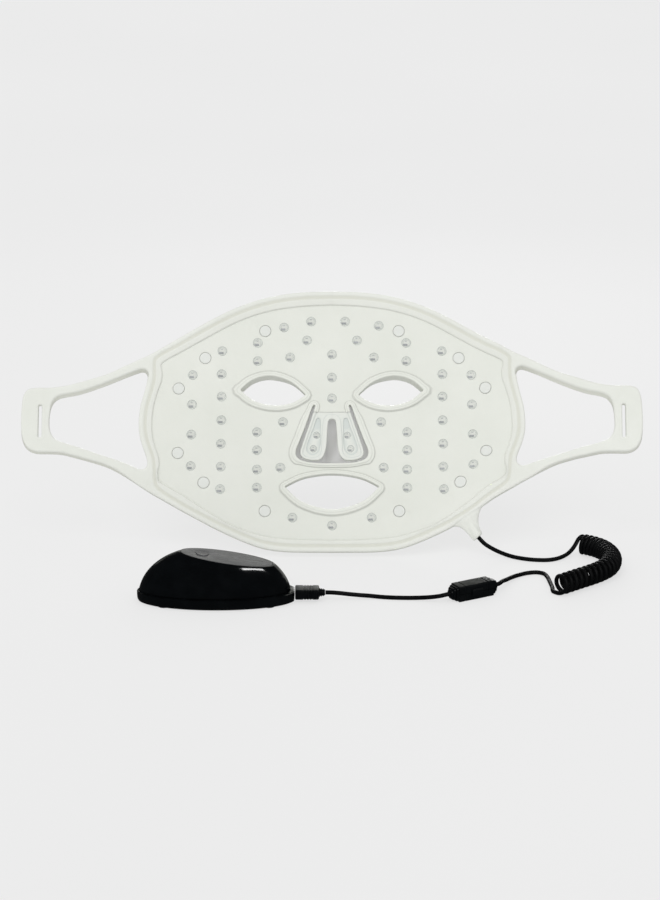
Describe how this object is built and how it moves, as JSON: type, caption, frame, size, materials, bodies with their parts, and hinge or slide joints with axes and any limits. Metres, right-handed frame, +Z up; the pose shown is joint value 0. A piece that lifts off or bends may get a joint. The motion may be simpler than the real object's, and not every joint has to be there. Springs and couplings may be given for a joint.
{
  "type": "led face mask",
  "caption": "Flexible silicone light therapy face mask with ear straps, curly lead, ferrite clip and a domed battery controller.",
  "frame": {"origin": "middle of the footprint of the mask and its controller, on the surface they stand on", "axes": "+X across the mask towards its right strap as seen from the lamp side, +Y away from the lamp side, +Z up"},
  "size_m": [0.4478, 0.1992, 0.1756],
  "materials": {
    "silicone": "soft matt milky silicone",
    "rivet_pad": "smooth translucent silicone",
    "lamp_strip": "clear silicone over lamps",
    "circuit_film": "polyimide film",
    "board": "solder mask",
    "cord": "satin black polyurethane",
    "black_plastic": "satin moulded black",
    "ferrite": "sintered ferrite, matt",
    "steel": "nickel plated",
    "gloss_black": "high gloss black",
    "grey_panel": "matt dark grey",
    "battery_foil": "pouch cell foil",
    "foot_rubber": "matt black rubber"
  },
  "bodies": {
    "face_panel": {"inner_skin": "silicone", "outer_shell": "silicone", "rivet_01": "rivet_pad", "rivet_02": "rivet_pad", "rivet_03": "rivet_pad", "rivet_04": "rivet_pad", "rivet_05": "rivet_pad", "rivet_06": "rivet_pad", "rivet_07": "rivet_pad", "rivet_08": "rivet_pad", "rivet_09": "rivet_pad", "rivet_10": "rivet_pad", "rivet_11": "rivet_pad", "rivet_12": "rivet_pad", "forehead_circuit": "circuit_film", "cheek_circuit_right": "circuit_film", "cheek_circuit_left": "circuit_film", "chin_circuit": "circuit_film", "junction_board": "board", "nose_cover": "silicone", "cable_gland": "silicone", "cord_mask_lead": "cord", "cord_coil": "cord", "cord_plug_lead": "cord", "ferrite_case_lower": "black_plastic", "ferrite_core_lower": "ferrite", "plug_body": "black_plastic", "plug_shell": "steel"},
    "arm_right": {"arm_right": "silicone"},
    "arm_left": {"arm_left": "silicone"},
    "nose_flap_right": {"nose_flap_right": "silicone", "nose_lamp_strip_right": "lamp_strip"},
    "nose_flap_left": {"nose_flap_left": "silicone", "nose_lamp_strip_left": "lamp_strip"},
    "controller": {"base_shell": "gloss_black", "upper_shell": "gloss_black", "top_panel": "grey_panel", "tact_switch": "black_plastic", "button_board": "board", "main_board": "board", "battery": "battery_foil", "usb_socket": "steel", "screw_1": "steel", "screw_2": "steel", "screw_3": "steel", "screw_4": "steel", "foot_1": "foot_rubber", "foot_2": "foot_rubber", "foot_3": "foot_rubber", "foot_4": "foot_rubber"},
    "power_button": {"power_button": "grey_panel"},
    "ferrite_lid": {"ferrite_case_upper": "black_plastic", "ferrite_core_upper": "ferrite"}
  },
  "joints": [
    {"name": "arm_right_bend", "type": "hinge", "parent": "face_panel", "child": "arm_right", "pos_m": [0.141, 0.0522, 0.09013], "axis": [0, -0.4384, -0.8988], "range_deg": [0, 75], "stiffness_Nm_per_rad": 0.05},
    {"name": "arm_left_bend", "type": "hinge", "parent": "face_panel", "child": "arm_left", "pos_m": [-0.141, 0.0522, 0.09013], "axis": [0, 0.4384, 0.8988], "range_deg": [0, 75], "stiffness_Nm_per_rad": 0.05},
    {"name": "nose_flap_right_bend", "type": "hinge", "parent": "face_panel", "child": "nose_flap_right", "pos_m": [0.007, 0.05811, 0.09404], "axis": [1, 0, 0], "range_deg": [0, 12], "stiffness_Nm_per_rad": 0.03},
    {"name": "nose_flap_left_bend", "type": "hinge", "parent": "face_panel", "child": "nose_flap_left", "pos_m": [-0.007, 0.05811, 0.09404], "axis": [1, 0, 0], "range_deg": [0, 12], "stiffness_Nm_per_rad": 0.03},
    {"name": "controller_unplug", "type": "slide", "parent": "face_panel", "child": "controller", "axis": [-1, 0, 0], "range_m": [0, 0.012]},
    {"name": "power_button_press", "type": "slide", "parent": "controller", "child": "power_button", "axis": [-0.153, 0, -0.9882], "range_m": [0, 0.0005], "stiffness_N_per_m": 400},
    {"name": "ferrite_lid_hinge", "type": "hinge", "parent": "face_panel", "child": "ferrite_lid", "pos_m": [0.09392, -0.06455, 0.0056], "axis": [-0.866, -0.5, 0], "range_deg": [0, 100]}
  ]
}
